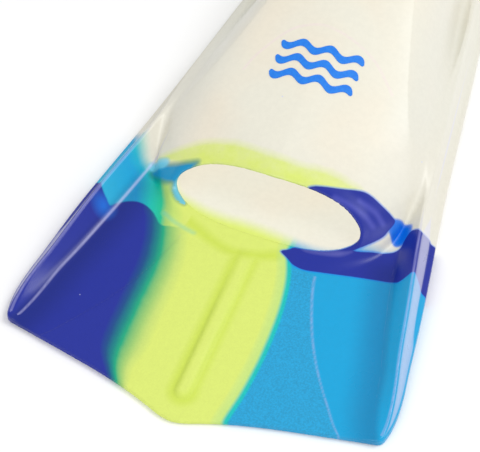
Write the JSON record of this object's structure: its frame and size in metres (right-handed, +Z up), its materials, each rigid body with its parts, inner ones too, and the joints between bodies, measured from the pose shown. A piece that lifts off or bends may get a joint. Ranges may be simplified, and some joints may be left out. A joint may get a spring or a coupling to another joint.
{
  "type": "short blade swim fin",
  "caption": "Open-toe silicone training fin: short V-ended blade between side rails, full foot pocket, and poured colour shots.",
  "frame": {"origin": "on the floor under the middle of the fin's length and width", "axes": "+X across the fin to its right seen from the heel, +Y along the fin from the blade's nose to the heel, +Z up from the floor"},
  "size_m": [0.2032, 0.37, 0.0655],
  "materials": {
    "silicone_lime": "lime silicone, smooth gloss",
    "silicone_navy": "deep blue silicone, smooth gloss with a grained panel",
    "silicone_sky": "sky blue silicone, smooth gloss with a grained panel",
    "silicone_teal": "teal silicone where sky blue runs into lime",
    "silicone_cream": "cream silicone, satin gloss",
    "ink_blue": "blue printed ink film"
  },
  "bodies": {
    "pocket": {"root_left": "silicone_teal", "root_centre": "silicone_lime", "root_band_right": "silicone_navy", "pocket_sole": "silicone_cream", "mid_rail_left": "silicone_sky", "mid_rail_right": "silicone_navy", "rear_rail_left": "silicone_cream", "rear_rail_right": "silicone_cream", "toe_shoulder_left": "silicone_teal", "toe_lip": "silicone_lime", "toe_band": "silicone_lime", "toe_shoulder_right": "silicone_navy", "instep_cover": "silicone_cream", "foot_opening_rim": "silicone_cream", "printed_mark": "ink_blue"},
    "blade": {"blade_web_left": "silicone_navy", "blade_web_centre": "silicone_lime", "blade_web_right": "silicone_sky", "blade_rail_left": "silicone_sky", "blade_rail_right": "silicone_sky", "centre_rib": "silicone_lime"},
    "heel": {"heel_sole": "silicone_cream", "heel_cup": "silicone_cream", "heel_rim": "silicone_cream"}
  },
  "joints": [
    {"name": "blade_flex", "type": "hinge", "parent": "pocket", "child": "blade", "pos_m": [0, -0.085, 0.0056], "axis": [-1, 0, 0], "range_deg": [-25, 25], "stiffness_Nm_per_rad": 2},
    {"name": "heel_flex", "type": "hinge", "parent": "pocket", "child": "heel", "pos_m": [0, 0.137, 0.004], "axis": [-1, 0, 0], "range_deg": [0, 35], "stiffness_Nm_per_rad": 1}
  ]
}
